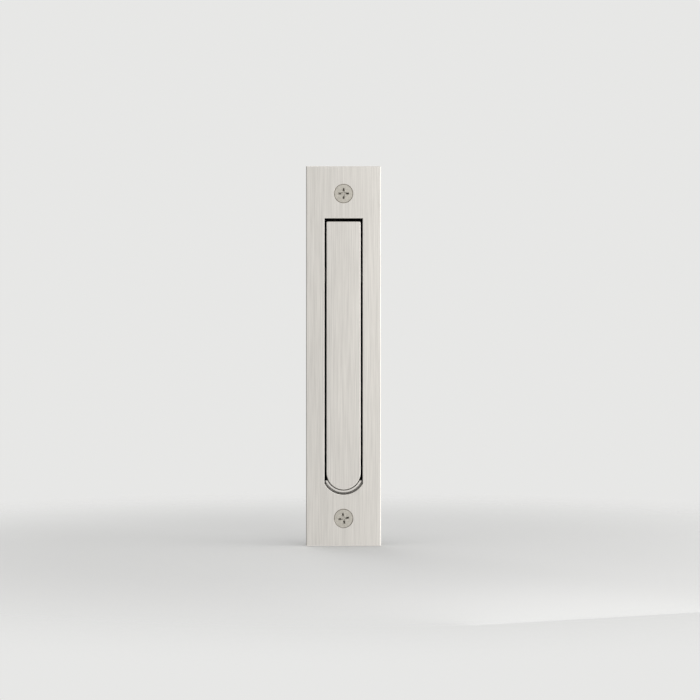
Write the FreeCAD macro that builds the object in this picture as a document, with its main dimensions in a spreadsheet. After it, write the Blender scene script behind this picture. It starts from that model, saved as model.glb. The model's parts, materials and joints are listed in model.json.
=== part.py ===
import FreeCAD, Part
import math
import os
import re

import Sketcher
from FreeCAD import Vector

# Pocket door pull: a flush plate for the edge of a sliding door, with a lever that lies level with it.
# Pressing the lever's square top end in swings its round lower end out, as a grip to draw the door with.
# X runs across the plate, Y into the door and Z up. The origin is the middle of the plate's back face,
# where the plate meets the door, so the side that shows faces -Y.

# Driving dimensions, in millimetres and degrees.
SIZES = {
    # Face plate and the wood screws that hold it in the door's edge.
    "plate_width": 30,
    "plate_height": 152,
    "plate_thickness": 3,
    "edge_round": 0.4,
    "screw_spacing": 130,
    "screw_head_diameter": 7.5,
    "screw_head_angle": 82,
    "screw_head_sink": 0.1,
    "screw_neck_diameter": 3.2,
    "screw_thread_diameter": 4.2,
    "screw_length": 25,
    "screw_point_length": 5,
    "screw_clearance": 0.15,
    "cross_length": 4.4,
    "cross_width": 0.8,
    "cross_depth": 1.6,
    "upper_cross_turn": 0,
    "lower_cross_turn": 10,
    # Lever, and the gaps round it in the plate's opening.
    "lever_width": 13.8,
    "lever_length": 107.4,
    "lever_thickness": 5,
    "lever_swing": 35,
    "corner_round": 0.6,
    "grip_round": 1,
    "scoop_length": 30,
    "scoop_depth": 1.2,
    "scoop_rise": 22,
    "lever_side_gap": 0.7,
    "lever_top_gap": 1.2,
    "opening_drop": 0.2,
    "opening_corner_round": 0.08,
    "opening_edge_round": 0.25,
    # Pivot: pin, bushes and clip.
    "pivot_drop": 21.8,
    "pivot_depth": 7,
    "pin_diameter": 3,
    "pin_head_diameter": 5,
    "pin_head_thickness": 1,
    "pin_tail": 0.8,
    "running_clearance": 0.03,
    "bush_wall": 0.8,
    "bush_flange_diameter": 7,
    "bush_flange_thickness": 0.6,
    "ear_wall": 1.9,
    "ear_thickness": 2.8,
    "end_play": 0.1,
    "groove_depth": 0.35,
    "groove_width": 0.7,
    "clip_thickness": 0.6,
    "clip_diameter": 6.4,
    "clip_mouth": 1.9,
    "clip_relief_diameter": 1.5,
    "clip_relief_angle": 25,
    # Return spring round the pin.
    "wire_diameter": 0.9,
    "coil_bore": 4.2,
    "coil_turns": 4,
    "coil_pitch": 0.95,
    "spring_clearance": 0.1,
    "lever_leg_length": 10,
    "wall_leg_length": 4.5,
    "wall_leg_angle": 45,
    "wall_leg_bend": 2,
    # Case of folded sheet, and the studs that carry it.
    "case_wall": 1.2,
    "bend_radius": 0.8,
    "fold_relief": 0.8,
    "corner_gap": 0.15,
    "end_clearance": 1.6,
    "recess_clearance": 0.2,
    "stud_diameter": 3,
    "stud_spacing": 7.2,
    "stud_offset": 5.5,
    "stud_clearance": 0.2,
    "foot_margin": 4,
    "stud_tail": 0.8,
    "thread_clearance": 0.02,
    "washer_diameter": 6,
    "washer_thickness": 0.6,
    "nut_flats": 5.5,
    "nut_thickness": 2.4,
    # Rest block under the lever's round end, with its pad and screws.
    "tip_gap": 0.3,
    "rim_width": 0.7,
    "rim_gap": 0.9,
    "rim_setback": 0.5,
    "rim_start": 3.2,
    "block_depth": 13.5,
    "block_foot_depth": 6,
    "block_side_gap": 0.3,
    "pad_thickness": 0.8,
    "pad_margin": 0.2,
    "pad_gap": 0.05,
    "block_screw_diameter": 2.5,
    "block_screw_spacing": 8,
    "block_screw_length": 6,
    "block_screw_head_diameter": 4.5,
    "block_screw_head_height": 1.6,
    "block_hole_spare": 0.8,
    # Rubber bumper that stops the press end.
    "bumper_diameter": 7,
    "bumper_height": 2.7,
    "bumper_taper": 0.6,
    "bumper_gap": 0.2,
    "stem_diameter": 3,
    "barb_diameter": 4.2,
    "barb_length": 1.6,
}

# Places that follow from the driving dimensions, as formulas for the document.
opening_half_width = "(lever_width / 2 + lever_side_gap)"
opening_radius = "(lever_width / 2 + tip_gap + rim_width + rim_gap)"
opening_length = "(lever_length + lever_top_gap + tip_gap + rim_width + rim_gap)"
opening_top = f"({opening_length} / 2 - opening_drop)"
opening_corner = f"sqrt({opening_radius}^2 - {opening_half_width}^2)"
lever_top = f"({opening_top} - lever_top_gap)"
tip_centre = f"({lever_top} - lever_length + lever_width / 2)"
lever_back = "(lever_thickness - plate_thickness)"
pivot_y = "(pivot_depth - plate_thickness)"
pivot_z = f"({lever_top} - pivot_drop)"
bush_radius = "(pin_diameter / 2 + running_clearance + bush_wall)"
ear_radius = f"({bush_radius} + ear_wall)"
ear_inside = "(lever_width / 2 - ear_thickness)"
cheek_inside = "(lever_width / 2 + bush_flange_thickness + end_play)"
cheek_outside = f"({cheek_inside} + case_wall)"
groove_radius = "(pin_diameter / 2 - groove_depth)"
groove_near = f"({cheek_outside} + end_play)"
groove_far = f"({groove_near} + groove_width)"
pin_end = f"({groove_far} + pin_tail)"
coil_radius = "((coil_bore + wire_diameter) / 2)"
coil_half_length = "((coil_turns + (180 - wall_leg_angle) / 360) * coil_pitch / 2)"
slot_floor = f"({pivot_y} - {coil_radius} - wire_diameter / 2 - spring_clearance)"
# The press end's back edge turns about the pivot to here when the lever is fully out.
press_lever_arm = "(pivot_depth - lever_thickness)"
press_reach = f"({pivot_y} + pivot_drop * sin(lever_swing) - {press_lever_arm} * cos(lever_swing))"
press_height = f"({pivot_z} + pivot_drop * cos(lever_swing) + {press_lever_arm} * sin(lever_swing))"
case_back = f"({press_reach} + bumper_gap + bumper_height)"
case_outer_back = f"({case_back} + case_wall)"
case_end = f"({opening_top} + end_clearance)"
case_outer_end = f"({case_end} + case_wall)"
outer_bend = "(bend_radius + case_wall)"
foot_half_width = f"({cheek_outside} - {outer_bend})"
stud_height = "(screw_spacing / 2 + stud_offset)"
foot_end = f"({stud_height} + foot_margin)"
rim_radius = "(lever_width / 2 + tip_gap + rim_width)"
seat_radius = "(lever_width / 2 + tip_gap)"
rim_top = f"({tip_centre} - rim_start)"
rim_front = "(rim_setback - plate_thickness)"
seat_floor = f"({lever_back} + pad_gap + pad_thickness)"
block_back = f"({rim_front} + block_depth)"
block_screw_y = f"({block_back} - block_foot_depth / 2)"

# An edge this near to a plane lies in it.
HAIR = 1e-4
# How a sketch names its own origin and an arc's middle.
SKETCH_ORIGIN = -1
FIRST_END, LAST_END, MIDDLE = range(1, 4)

document = FreeCAD.newDocument("PocketDoorPull")
sheet = document.addObject("Spreadsheet::Sheet", "Sizes")
for row, (size, amount) in enumerate(SIZES.items(), start=1):
    sheet.set(f"A{row}", size)
    sheet.set(f"B{row}", str(amount))
    sheet.setAlias(f"B{row}", size)
document.recompute()
subparts = []


def formula(text):
    """The formula with each driving dimension named by its sheet."""
    return re.sub(r"[a-z]\w*", lambda word: ("Sizes." if word[0] in SIZES else "") + word[0], text)


def measure(text):
    """What a formula comes to at the sheet's present sizes."""
    return float(sheet.evalExpression(text))


def bind(target, place, text):
    target.setExpression(place, formula(text))


def new_body(name):
    body = document.addObject("PartDesign::Body", name)
    body.Label = name
    body.AllowCompound = True
    return body


def sub_part(name):
    """A body that is a whole piece of the pull."""
    body = new_body(name)
    subparts.append(body)
    return body


def group_of(name, bodies):
    """Like pieces that share one name, each still a solid of its own."""
    group = document.addObject("Part::Compound", name)
    group.Label = name
    group.Links = bodies
    subparts.append(group)


def sketch_on(body, name, role, across="0", up="0", out="0", turn="0"):
    """A sketch on one of the body's origin planes, moved along its own axes and turned."""
    plane = next(feature for feature in body.Origin.OriginFeatures if feature.Role == role)
    sketch = body.newObject("Sketcher::SketchObject", f"{body.Name}_{name}")
    sketch.AttachmentSupport = (plane, [""])
    sketch.MapMode = "FlatFace"
    for axis, text in zip("xyz", (across, up, out)):
        bind(sketch, f"AttachmentOffset.Base.{axis}", text)
    bind(sketch, "AttachmentOffset.Rotation.Angle", turn)
    return sketch


def locate(sketch, edge, vertex, x, y, axes="XY"):
    """Hold a vertex at its distances from the sketch's origin."""
    for axis, text in zip("XY", (x, y)):
        if axis in axes:
            distance = ("Distance" + axis, SKETCH_ORIGIN, FIRST_END, edge, vertex, measure(text))
            number = sketch.addConstraint(Sketcher.Constraint(*distance))
            bind(sketch, f"Constraints[{number}]", text)


def circle(sketch, x, y, radius):
    middle = Vector(measure(x), measure(y), 0)
    edge = sketch.addGeometry(Part.Circle(middle, Vector(0, 0, 1), measure(radius)))
    locate(sketch, edge, MIDDLE, x, y)
    number = sketch.addConstraint(Sketcher.Constraint("Radius", edge, measure(radius)))
    bind(sketch, f"Constraints[{number}]", radius)


def stretch(sketch, start, end, arc):
    """One line or arc of an outline, with the vertices where it begins and ends."""
    if arc is None:
        return sketch.addGeometry(Part.LineSegment(start, end)), FIRST_END, LAST_END
    x, y, turn = arc
    middle = Vector(measure(x), measure(y), 0)
    ends = (start, end) if turn > 0 else (end, start)
    angles = [math.atan2(point.y - middle.y, point.x - middle.x) for point in ends]
    whole = Part.Circle(middle, Vector(0, 0, 1), (start - middle).Length)
    edge = sketch.addGeometry(Part.ArcOfCircle(whole, *angles))
    locate(sketch, edge, MIDDLE, x, y)
    return (edge, FIRST_END, LAST_END) if turn > 0 else (edge, LAST_END, FIRST_END)


def outline(sketch, corners, arcs=None, closed=True):
    """A run of lines through the corners, each a pair of formulas.

    arcs gives, for a corner's number, the middle and the turn (1 anticlockwise, -1 clockwise) of the
    arc that leads from that corner to the next.
    """
    arcs = arcs or {}
    points = [Vector(measure(x), measure(y), 0) for x, y in corners]
    runs = len(points) if closed else len(points) - 1
    stretches = [
        stretch(sketch, points[number], points[(number + 1) % len(points)], arcs.get(number))
        for number in range(runs)
    ]
    for number, (x, y) in enumerate(corners):
        if number < runs:
            edge, vertex, _ = stretches[number]
        else:
            edge, _, vertex = stretches[-1]
        before = (number - 1) % len(corners)
        if number < runs and (closed or number > 0):
            last_edge, _, last_vertex = stretches[before]
            sketch.addConstraint(Sketcher.Constraint("Coincident", last_edge, last_vertex, edge, vertex))
        axes = "XY"
        if before in arcs:
            # The arc's radius is known by now, so one distance fixes where it ends.
            middle_x, middle_y, _ = arcs[before]
            level = abs(measure(x) - measure(middle_x)) > abs(measure(y) - measure(middle_y))
            axes = "Y" if level else "X"
        locate(sketch, edge, vertex, x, y, axes)


def rectangle(sketch, left, bottom, right, top):
    outline(sketch, [(left, bottom), (right, bottom), (right, top), (left, top)])


def mirrored(text):
    return f"-({text})"


def pad(body, sketch, length, both_ways=False, backwards=False):
    feature = body.newObject("PartDesign::Pad", f"{sketch.Name}_pad")
    feature.Profile = sketch
    feature.Midplane = both_ways
    feature.Reversed = backwards
    bind(feature, "Length", length)
    document.recompute()
    return feature


def pocket(body, sketch, depth=None, both_ways=False, backwards=False):
    """Cut the sketch out of the body, right through where no depth is given."""
    volume_before = body.Shape.Volume
    feature = body.newObject("PartDesign::Pocket", f"{sketch.Name}_pocket")
    feature.Profile = sketch
    feature.Midplane = both_ways
    feature.Reversed = backwards
    if depth is None:
        feature.Type = "ThroughAll"
    else:
        bind(feature, "Length", depth)
    document.recompute()
    if body.Shape.Volume >= volume_before:
        raise RuntimeError(f"{feature.Name} cuts nothing")


def revolve(body, sketch, axis):
    feature = body.newObject("PartDesign::Revolution", f"{sketch.Name}_turn")
    feature.Profile = sketch
    feature.ReferenceAxis = (sketch, [axis])
    feature.Angle = 360
    document.recompute()


def round_edges(body, name, radius, chosen):
    """Round those edges of the body that the test picks out."""
    base = body.Tip
    edges = [f"Edge{n}" for n, edge in enumerate(base.Shape.Edges, start=1) if chosen(edge)]
    feature = body.newObject("PartDesign::Fillet", f"{body.Name}_{name}")
    feature.Base = (base, edges)
    bind(feature, "Radius", radius)
    document.recompute()


def lies_at(edge, axis, text):
    """Whether all of an edge lies at one height along an axis."""
    box = edge.BoundBox
    low, high = (getattr(box, axis + end) for end in ("Min", "Max"))
    return abs(low - measure(text)) < HAIR and abs(high - measure(text)) < HAIR


def runs_along(edge, axis):
    """Whether an edge is longest along an axis, as a corner through a plate is."""
    return abs(getattr(edge.BoundBox, axis + "Length") - edge.Length) < HAIR


# Face plate: cast and brushed, with a long opening for the lever, two countersunk holes, and a milled
# recess behind that takes the case's front edges and feet level with the back, as wide as the pin is long.
face_plate = sub_part("face_plate")
blank = sketch_on(face_plate, "blank", "XZ_Plane")
plate_side, plate_end = "plate_width / 2", "plate_height / 2"


def on_plate_rim(edge):
    """Whether an edge lies on the plate's outline."""
    middle = edge.CenterOfMass
    return abs(middle.x) > measure(plate_side) - HAIR or abs(middle.z) > measure(plate_end) - HAIR


rectangle(blank, mirrored(plate_side), mirrored(plate_end), plate_side, plate_end)
pad(face_plate, blank, "plate_thickness")

opening = sketch_on(face_plate, "opening", "XZ_Plane", out="plate_thickness")
opening_shoulder = f"{tip_centre} - {opening_corner}"
outline(
    opening,
    [
        (mirrored(opening_half_width), opening_top),
        (opening_half_width, opening_top),
        (opening_half_width, opening_shoulder),
        (mirrored(opening_half_width), opening_shoulder),
    ],
    arcs={2: ("0", tip_centre, -1)},
)
pocket(face_plate, opening)
round_edges(
    face_plate,
    "opening_corners",
    "opening_corner_round",
    lambda edge: runs_along(edge, "Y") and not on_plate_rim(edge),
)
round_edges(
    face_plate,
    "opening_edges",
    "opening_edge_round",
    lambda edge: lies_at(edge, "Y", "-plate_thickness") and not on_plate_rim(edge),
)
round_edges(
    face_plate,
    "front_edges",
    "edge_round",
    lambda edge: lies_at(edge, "Y", "-plate_thickness") and on_plate_rim(edge),
)

recess = sketch_on(face_plate, "recess", "XZ_Plane")
recess_side, recess_end = f"{pin_end} + recess_clearance", f"{foot_end} + recess_clearance"
rectangle(recess, mirrored(recess_side), mirrored(recess_end), recess_side, recess_end)
pocket(face_plate, recess, depth="case_wall", backwards=True)

screw_holes = sketch_on(face_plate, "screw_holes", "XZ_Plane", out="plate_thickness")
for side in ("screw_spacing / 2", "-screw_spacing / 2"):
    circle(screw_holes, "0", side, "screw_thread_diameter / 2 + screw_clearance")
document.recompute()
countersinks = face_plate.newObject("PartDesign::Hole", "face_plate_countersinks")
countersinks.Profile = screw_holes
document.recompute()
countersinks.DepthType = "ThroughAll"
countersinks.HoleCutType = "Countersink"
bind(countersinks, "Diameter", "screw_thread_diameter + 2 * screw_clearance")
bind(countersinks, "HoleCutDiameter", "screw_head_diameter + 2 * screw_clearance")
bind(countersinks, "HoleCutCountersinkAngle", "screw_head_angle")
document.recompute()

# Lever: one casting, with a flat front, a round tongue scooped out behind for the fingers, and two ears
# behind its upper part with a slot between them for the spring.
lever = sub_part("lever")
bar = sketch_on(lever, "bar", "XZ_Plane", out=mirrored(lever_back))
lever_side = "lever_width / 2"
outline(
    bar,
    [
        (mirrored(lever_side), lever_top),
        (lever_side, lever_top),
        (lever_side, tip_centre),
        (mirrored(lever_side), tip_centre),
    ],
    arcs={2: ("0", tip_centre, -1)},
)
pad(lever, bar, "lever_thickness")
round_edges(
    lever,
    "corners",
    "corner_round",
    lambda edge: runs_along(edge, "Y") and edge.BoundBox.ZMax > measure(lever_top) - HAIR,
)
round_edges(lever, "front_edges", "edge_round", lambda edge: lies_at(edge, "Y", "-plate_thickness"))
round_edges(
    lever,
    "grip_edge",
    "grip_round",
    lambda edge: lies_at(edge, "Y", lever_back) and edge.BoundBox.ZMin < measure(tip_centre),
)

scoop = sketch_on(lever, "scoop", "YZ_Plane")
scoop_middle = f"({tip_centre} + scoop_rise)"
scoop_radius = "((scoop_length^2 / 4 + scoop_depth^2) / (2 * scoop_depth))"
outline(
    scoop,
    [
        (lever_back, f"{scoop_middle} - scoop_length / 2"),
        (lever_back, f"{scoop_middle} + scoop_length / 2"),
    ],
    arcs={0: (f"{lever_back} - scoop_depth + {scoop_radius}", scoop_middle, -1)},
)
pocket(lever, scoop, both_ways=True)

ears = sketch_on(lever, "ears", "YZ_Plane")
outline(
    ears,
    [
        ("0", f"{pivot_z} - {ear_radius}"),
        (pivot_y, f"{pivot_z} - {ear_radius}"),
        (pivot_y, f"{pivot_z} + {ear_radius}"),
        ("0", f"{pivot_z} + {ear_radius}"),
    ],
    arcs={1: (pivot_y, pivot_z, 1)},
)
pad(lever, ears, "lever_width", both_ways=True)

spring_slot = sketch_on(lever, "spring_slot", "XZ_Plane", out=mirrored(slot_floor))
slot_bottom = f"{pivot_z} - {ear_radius} - spring_clearance"
slot_top = f"{pivot_z} + lever_leg_length + wire_diameter"
rectangle(spring_slot, mirrored(ear_inside), slot_bottom, ear_inside, slot_top)
pocket(lever, spring_slot)

bush_bores = sketch_on(lever, "bush_bores", "YZ_Plane")
circle(bush_bores, pivot_y, pivot_z, f"{bush_radius} + running_clearance")
pocket(lever, bush_bores, both_ways=True)

# Bushes: one turned plastic bush in each ear, with its flange towards the case's cheek.
for bush_name, side in (("bush_left", "-1"), ("bush_right", "1")):
    bush = sub_part(bush_name)
    bush_section = sketch_on(bush, "section", "XY_Plane", up=pivot_y, out=pivot_z)
    bush_bore = "pin_diameter / 2 + running_clearance"
    ear_face = f"{side} * lever_width / 2"
    flange_face = f"{side} * (lever_width / 2 + bush_flange_thickness)"
    inner_end = f"{side} * {ear_inside}"
    outline(
        bush_section,
        [
            (inner_end, bush_bore),
            (flange_face, bush_bore),
            (flange_face, "bush_flange_diameter / 2"),
            (ear_face, "bush_flange_diameter / 2"),
            (ear_face, bush_radius),
            (inner_end, bush_radius),
        ],
    )
    revolve(bush, bush_section, "H_Axis")

# Case: one blank of sheet steel. Two cheeks fold forward from the back, and a strip folds into the end
# walls and the feet. The end walls stand between the cheeks, with a notch where the folds meet.
case = sub_part("case")
bend_z = f"({case_end} - bend_radius)"
foot_bend_z = f"({case_outer_end} + bend_radius)"
back_fold = f"({case_back} - bend_radius)"
notch = f"({back_fold} - fold_relief)"

channel = sketch_on(case, "channel", "XY_Plane")
fold_x = f"({cheek_inside} - bend_radius)"
cheek_right = [
    (cheek_inside, "-case_wall"),
    (cheek_outside, "-case_wall"),
    (cheek_outside, back_fold),
    (fold_x, case_outer_back),
]
channel_inside = [(fold_x, case_back), (cheek_inside, back_fold)]
outline(
    channel,
    cheek_right
    + [(mirrored(x), y) for x, y in reversed(cheek_right)]
    + [(mirrored(x), y) for x, y in reversed(channel_inside)]
    + channel_inside,
    {
        2: (fold_x, back_fold, 1),
        4: (mirrored(fold_x), back_fold, 1),
        8: (mirrored(fold_x), back_fold, -1),
        10: (fold_x, back_fold, -1),
    },
)
pad(case, channel, f"2 * {case_outer_end}", both_ways=True)

notches = sketch_on(case, "notches", "YZ_Plane")
past_back, past_end = f"{case_outer_back} + fold_relief", f"({case_outer_end} + fold_relief)"
for side in ("1", "-1"):
    rectangle(notches, notch, f"{side} * {bend_z}", past_back, f"{side} * {past_end}")
pocket(case, notches, both_ways=True)

strip = sketch_on(case, "strip", "YZ_Plane")
strip_outside = [
    (case_outer_back, bend_z),
    (back_fold, case_outer_end),
    ("bend_radius", case_outer_end),
    ("0", foot_bend_z),
    ("0", foot_end),
    ("-case_wall", foot_end),
    ("-case_wall", foot_bend_z),
    ("bend_radius", case_end),
    (back_fold, case_end),
    (case_back, bend_z),
]
strip_corners = strip_outside + [(y, mirrored(z)) for y, z in reversed(strip_outside)]
strip_arcs = {
    0: (back_fold, bend_z, 1),
    2: ("bend_radius", foot_bend_z, -1),
    6: ("bend_radius", foot_bend_z, 1),
    8: (back_fold, bend_z, -1),
    10: (back_fold, mirrored(bend_z), -1),
    12: ("bend_radius", mirrored(foot_bend_z), 1),
    16: ("bend_radius", mirrored(foot_bend_z), -1),
    18: (back_fold, mirrored(bend_z), 1),
}
outline(strip, strip_corners, strip_arcs)
pad(case, strip, f"2 * {foot_half_width}", both_ways=True)

wall_side = f"({cheek_inside} - corner_gap)"
for wall_name, height in (("upper_wall", case_end), ("lower_wall", mirrored(case_outer_end))):
    end_wall = sketch_on(case, wall_name, "XY_Plane", out=height)
    rectangle(end_wall, mirrored(wall_side), "bend_radius", wall_side, notch)
    pad(case, end_wall, "case_wall")

pin_holes = sketch_on(case, "pin_holes", "YZ_Plane")
circle(pin_holes, pivot_y, pivot_z, "pin_diameter / 2 + running_clearance")
pocket(case, pin_holes, both_ways=True)

back_holes = sketch_on(case, "back_holes", "XZ_Plane")
circle(back_holes, "0", press_height, "stem_diameter / 2 + running_clearance")
stud_places = [
    (f"{across} * stud_spacing / 2", f"{up} * {stud_height}") for across in (-1, 1) for up in (-1, 1)
]
for x, z in stud_places:
    circle(back_holes, x, z, "stud_diameter / 2 + stud_clearance")
# The feet clear the screw's head, which reaches through the thin plate in front of them.
for side in ("screw_spacing / 2", "-screw_spacing / 2"):
    circle(back_holes, "0", side, "screw_head_diameter / 2 - plate_thickness / 2 + case_wall / 2")
pocket(case, back_holes, both_ways=True)

block_screw_holes = sketch_on(case, "block_screw_holes", "XY_Plane")
for side in ("block_screw_spacing / 2", "-block_screw_spacing / 2"):
    circle(block_screw_holes, side, block_screw_y, "block_screw_diameter / 2 + screw_clearance")
pocket(case, block_screw_holes)

# Studs welded on the plate's back, with the washers and nuts that hold the case's feet.
case_studs = sub_part("case_studs")
stud_section = sketch_on(case_studs, "section", "XZ_Plane", out="case_wall")
for x, z in stud_places:
    circle(stud_section, x, z, "stud_diameter / 2")
pad(case_studs, stud_section, "case_wall + washer_thickness + nut_thickness + stud_tail", backwards=True)

case_washers = sub_part("case_washers")
washer_section = sketch_on(case_washers, "section", "XZ_Plane")
for x, z in stud_places:
    circle(washer_section, x, z, "washer_diameter / 2")
    circle(washer_section, x, z, "stud_diameter / 2 + thread_clearance")
pad(case_washers, washer_section, "washer_thickness", backwards=True)

case_nuts = sub_part("case_nuts")
nut_section = sketch_on(case_nuts, "section", "XZ_Plane", out="-washer_thickness")
hexagon = range(0, 360, 60)
for x, z in stud_places:
    outline(
        nut_section,
        [
            (f"{x} + nut_flats / sqrt(3) * cos({angle})", f"{z} + nut_flats / sqrt(3) * sin({angle})")
            for angle in hexagon
        ],
    )
    circle(nut_section, x, z, "stud_diameter / 2 + thread_clearance")
pad(case_nuts, nut_section, "nut_thickness", backwards=True)

# Pivot pin: turned, with a flat head outside one cheek and a groove for the clip outside the other.
pivot_pin = sub_part("pivot_pin")
pin_section = sketch_on(pivot_pin, "section", "XY_Plane", up=pivot_y, out=pivot_z)
pin_radius = "pin_diameter / 2"
outline(
    pin_section,
    [
        (f"-{cheek_outside} - pin_head_thickness", "0"),
        (f"-{cheek_outside} - pin_head_thickness", "pin_head_diameter / 2"),
        (f"-{cheek_outside}", "pin_head_diameter / 2"),
        (f"-{cheek_outside}", pin_radius),
        (groove_near, pin_radius),
        (groove_near, groove_radius),
        (groove_far, groove_radius),
        (groove_far, pin_radius),
        (pin_end, pin_radius),
        (pin_end, "0"),
    ],
)
revolve(pivot_pin, pin_section, "H_Axis")

# Retaining clip: stamped from spring steel, open at one side so that it pushes on across the groove, where
# three lugs hold it.
retaining_clip = sub_part("retaining_clip")
clip_face = sketch_on(retaining_clip, "face", "YZ_Plane", across=pivot_y, up=pivot_z, out=groove_near)
circle(clip_face, "0", "0", "clip_diameter / 2")
pad(retaining_clip, clip_face, "clip_thickness")
clip_mouth = sketch_on(
    retaining_clip, "mouth", "YZ_Plane", across=pivot_y, up=pivot_z, out=f"{groove_near} + clip_thickness"
)
seat = f"({groove_radius} + running_clearance)"
mouth_z = f"sqrt({seat}^2 - clip_mouth^2 / 4)"
outline(
    clip_mouth,
    [
        ("clip_mouth / 2", mirrored(mouth_z)),
        ("-clip_mouth / 2", mirrored(mouth_z)),
        ("-clip_mouth / 2", "-clip_diameter"),
        ("clip_mouth / 2", "-clip_diameter"),
    ],
    arcs={0: ("0", "0", 1)},
)
pocket(retaining_clip, clip_mouth)
clip_reliefs = sketch_on(
    retaining_clip, "reliefs", "YZ_Plane", across=pivot_y, up=pivot_z, out=f"{groove_near} + clip_thickness"
)
relief_reach = f"({seat} + clip_relief_diameter / 4)"
for side in ("1", "-1"):
    circle(
        clip_reliefs,
        f"{side} * {relief_reach} * cos(clip_relief_angle)",
        f"{relief_reach} * sin(clip_relief_angle)",
        "clip_relief_diameter / 2",
    )
pocket(retaining_clip, clip_reliefs)

# Return spring: round wire coiled on the pin. One leg lies up the lever's back, and the other crosses to
# the case's back and lies up it.
return_spring = sub_part("return_spring")
coil_start = sketch_on(return_spring, "coil_start", "XY_Plane", up=pivot_y, out=pivot_z)
circle(coil_start, mirrored(coil_half_length), mirrored(coil_radius), "wire_diameter / 2")
document.recompute()
coil = return_spring.newObject("PartDesign::AdditiveHelix", "return_spring_coil")
coil.Profile = coil_start
coil.ReferenceAxis = (coil_start, ["H_Axis"])
coil.Mode = "pitch-turns-angle"
coil.LeftHanded = False
coil.Reversed = False
bind(coil, "Pitch", "coil_pitch")
bind(coil, "Turns", "coil_turns + (180 - wall_leg_angle) / 360")
document.recompute()

lever_leg = sketch_on(return_spring, "lever_leg", "XY_Plane", up=pivot_y, out=pivot_z)
circle(lever_leg, mirrored(coil_half_length), mirrored(coil_radius), "wire_diameter / 2")
pad(return_spring, lever_leg, "lever_leg_length")

wall_leg = sketch_on(return_spring, "wall_leg", "YZ_Plane", out=coil_half_length)
leave_y = f"({pivot_y} + {coil_radius} * cos(wall_leg_angle))"
leave_z = f"({pivot_z} - {coil_radius} * sin(wall_leg_angle))"
wall_wire_y = f"({case_back} - spring_clearance - wire_diameter / 2)"
meet_z = f"({leave_z} + ({wall_wire_y} - {leave_y}) / tan(wall_leg_angle))"
bend_set = "(wall_leg_bend * tan(wall_leg_angle / 2))"
bend_start_y = f"{wall_wire_y} - {bend_set} * sin(wall_leg_angle)"
bend_start_z = f"{meet_z} - {bend_set} * cos(wall_leg_angle)"
wall_leg_top = f"{meet_z} + wall_leg_length"
outline(
    wall_leg,
    [
        (leave_y, leave_z),
        (bend_start_y, bend_start_z),
        (wall_wire_y, f"{meet_z} + {bend_set}"),
        (wall_wire_y, wall_leg_top),
    ],
    arcs={1: (f"{wall_wire_y} - wall_leg_bend", f"{meet_z} + {bend_set}", 1)},
    closed=False,
)
wall_leg_end = sketch_on(return_spring, "wall_leg_end", "XY_Plane", out=wall_leg_top)
circle(wall_leg_end, coil_half_length, wall_wire_y, "wire_diameter / 2")
document.recompute()
wall_leg_wire = return_spring.newObject("PartDesign::AdditivePipe", "return_spring_wall_leg_wire")
wall_leg_wire.Profile = wall_leg_end
wall_leg_wire.Spine = (wall_leg, [f"Edge{n}" for n in range(1, len(wall_leg.Shape.Edges) + 1)])
document.recompute()

# Rest block: a small casting between the cheeks. Its D-shaped nose stands in the opening's lower end, with
# a thin rim round the tongue, and its foot sits on the case's end wall.
rest_block = sub_part("rest_block")
nose = sketch_on(rest_block, "nose", "XZ_Plane", out=mirrored(block_back))
rim_half_width = f"sqrt({rim_radius}^2 - rim_start^2)"
outline(
    nose,
    [(rim_half_width, rim_top), (mirrored(rim_half_width), rim_top)],
    arcs={0: ("0", tip_centre, -1)},
)
pad(rest_block, nose, "block_depth")
foot = sketch_on(rest_block, "foot", "XZ_Plane", out=mirrored(block_back))
foot_side = f"{cheek_inside} - block_side_gap"
rectangle(foot, mirrored(foot_side), mirrored(case_end), foot_side, rim_top)
pad(rest_block, foot, "block_foot_depth")
tongue_seat = sketch_on(rest_block, "tongue_seat", "XZ_Plane", out=mirrored(rim_front))
circle(tongue_seat, "0", tip_centre, seat_radius)
pocket(rest_block, tongue_seat, depth=f"{seat_floor} - {rim_front}")
tapped_holes = sketch_on(rest_block, "tapped_holes", "XY_Plane", out=mirrored(case_end))
for side in ("block_screw_spacing / 2", "-block_screw_spacing / 2"):
    circle(tapped_holes, side, block_screw_y, "block_screw_diameter / 2 + thread_clearance")
pocket(rest_block, tapped_holes, depth="block_screw_length - case_wall + block_hole_spare", backwards=True)

# Rest pad: rubber, glued on the floor of the block's seat.
rest_pad = sub_part("rest_pad")
pad_face = sketch_on(rest_pad, "face", "XZ_Plane", out=mirrored(seat_floor))
pad_radius = f"({seat_radius} - pad_margin)"
pad_half_width = f"sqrt({pad_radius}^2 - (rim_start + pad_margin)^2)"
outline(
    pad_face,
    [(pad_half_width, f"{rim_top} - pad_margin"), (mirrored(pad_half_width), f"{rim_top} - pad_margin")],
    arcs={0: ("0", tip_centre, -1)},
)
pad(rest_pad, pad_face, "pad_thickness")

# Rest block screws: two round-headed machine screws up through the case's lower end wall.
block_screws = []
for screw_name, side in (("block_screw_left", "-1"), ("block_screw_right", "1")):
    block_screw = new_body(screw_name)
    block_screws.append(block_screw)
    block_screw_section = sketch_on(
        block_screw,
        "section",
        "XZ_Plane",
        across=f"{side} * block_screw_spacing / 2",
        up=mirrored(case_outer_end),
        out=mirrored(block_screw_y),
    )
    outline(
        block_screw_section,
        [
            ("0", "-block_screw_head_height"),
            ("block_screw_head_diameter / 4", "-block_screw_head_height"),
            ("block_screw_head_diameter / 2", "-block_screw_head_height / 2"),
            ("block_screw_head_diameter / 2", "0"),
            ("block_screw_diameter / 2", "0"),
            ("block_screw_diameter / 2", "block_screw_length"),
            ("0", "block_screw_length"),
        ],
    )
    revolve(block_screw, block_screw_section, "V_Axis")
group_of("rest_block_screws", block_screws)

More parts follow.
